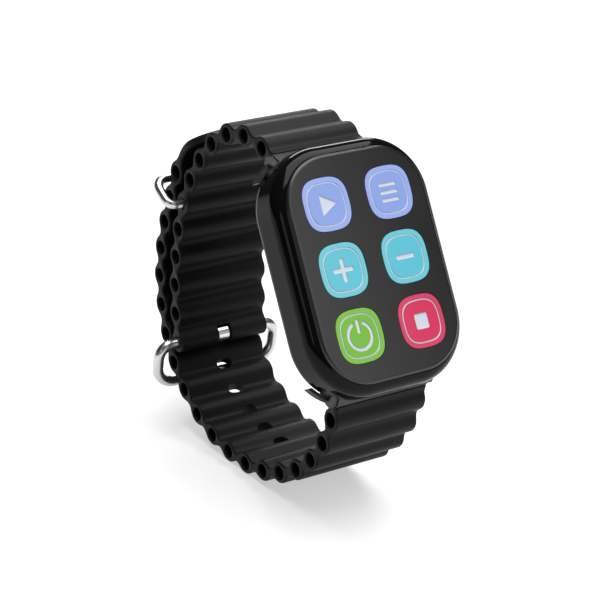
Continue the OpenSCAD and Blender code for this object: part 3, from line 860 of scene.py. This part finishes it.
# %% [markdown]
# ## The case screws
# Four small cross-head screws hold the back cover. They are all alike, so one screw is turned
# from its side view, with a soft-edged head and a threaded shank, and a node tree puts a copy
# on each of four points. Nobody stops a screw at the same angle twice, so each copy gets its
# own turn from a fixed seed.

# %% Turn one screw
HEAD_FACE = 10.3
HEAD_RADIUS, HEAD_HEIGHT = 1.2, 0.6
HEAD_EDGE = [(0.25, 0), (0.07, 0.06), (0, 0.2)]
SHANK_RADIUS, SHANK_END, THREAD_PITCH, THREAD_DEPTH = 0.6, 7.4, 0.4, 0.1
SCREW_SIDES = 36
SCREW_SHARP_ANGLE = 40
CROSS_ARM, CROSS_WIDTH, CROSS_DEPTH, CROSS_ABOVE = 0.72, 0.15, 0.35, 1
CROSS_CORNERS = [(-1, 1), (-1, -1), (1, -1), (1, 1)]
side_way = DEEP.cross(Vector((1, 0, 0)))


def from_head(x, y, depth):
    """A point beside the screw's middle, with depth measured in from the head's face."""
    return (Vector((x, 0, 0)) + side_way * y - DEEP * depth) * MM


root = SHANK_RADIUS - THREAD_DEPTH
turned_line = [(HEAD_RADIUS - inward, depth) for inward, depth in HEAD_EDGE]
turned_line += [(HEAD_RADIUS, HEAD_HEIGHT), (root, HEAD_HEIGHT)]
for index in range(int((SHANK_END - HEAD_HEIGHT) / THREAD_PITCH)):
    depth = HEAD_HEIGHT + index * THREAD_PITCH
    turned_line += [(SHANK_RADIUS, depth + THREAD_PITCH / 2), (root, depth + THREAD_PITCH)]
shape = bmesh.new()
rings = []
for radius, depth in turned_line:
    rings.append([shape.verts.new(from_head(x, y, depth)) for x, y in circle(SCREW_SIDES, radius)])
for near, far in zip(rings, rings[1:]):
    bridge(shape, near, far)
shape.faces.new(rings[0])
shape.faces.new(rings[-1][::-1])
one_screw = solid("one_screw", shape)

shape = bmesh.new()
for half_x, half_y in ((CROSS_ARM, CROSS_WIDTH), (CROSS_WIDTH, CROSS_ARM)):
    near, far = [[shape.verts.new(from_head(x * half_x, y * half_y, depth)) for x, y in CROSS_CORNERS]
                 for depth in (-CROSS_ABOVE, CROSS_DEPTH)]
    shape.faces.new(near)
    shape.faces.new(far[::-1])
    bridge(shape, near, far)
take_out(one_screw, solid("cross_cutter", shape))
soften(one_screw, SCREW_SHARP_ANGLE)
print("one screw's triangles:", triangle_count(one_screw))

# %% A node tree that sets screws on points
SCREW_SPOTS = [(x * 14.6, y * 18.1) for x in (-1, 1) for y in (-1, 1)]
SCREW_SEED = 3
SCREW_INPUTS = [("Screw", "Object"), ("Seed", "Int"), ("Steel", "Material")]
screw_tree, screw_keys = geometry_tree("screws_on_points", SCREW_INPUTS)
enter, leave = screw_tree.nodes.new("NodeGroupInput"), screw_tree.nodes.new("NodeGroupOutput")
model = screw_tree.nodes.new("GeometryNodeObjectInfo")
copies = screw_tree.nodes.new("GeometryNodeInstanceOnPoints")
angle = screw_tree.nodes.new("FunctionNodeRandomValue")
angle.inputs["Max"].default_value = math.pi / 2
spin = screw_tree.nodes.new("FunctionNodeAxisAngleToRotation")
spin.inputs["Axis"].default_value = DEEP
real = screw_tree.nodes.new("GeometryNodeRealizeInstances")
coat = screw_tree.nodes.new("GeometryNodeSetMaterial")
join_all(screw_tree, [
    (enter, "Geometry", copies, "Points"),
    (enter, "Screw", model, "Object"),
    (model, "Geometry", copies, "Instance"),
    (enter, "Seed", angle, "Seed"),
    (angle, 1, spin, "Angle"),
    (spin, "Rotation", copies, "Rotation"),
    (copies, "Instances", real, "Geometry"),
    (real, "Geometry", coat, "Geometry"),
    (enter, "Steel", coat, "Material"),
    (coat, "Geometry", leave, "Geometry"),
])

spots = [place(x * MM, y * MM, HEAD_FACE * MM) for x, y in SCREW_SPOTS]
screws = mesh_object("cover_screws", spots, [])
setter = screws.modifiers.new("set_screws", "NODES")
setter.node_group = screw_tree
setter[screw_keys["Screw"]] = one_screw
setter[screw_keys["Seed"]] = SCREW_SEED
setter[screw_keys["Steel"]] = paints["screw_steel"]
settle(screws)
bpy.data.objects.remove(one_screw)
paint_all(screws, paints["screw_steel"])
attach(screws, "case_and_band")
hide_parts("case_screws")
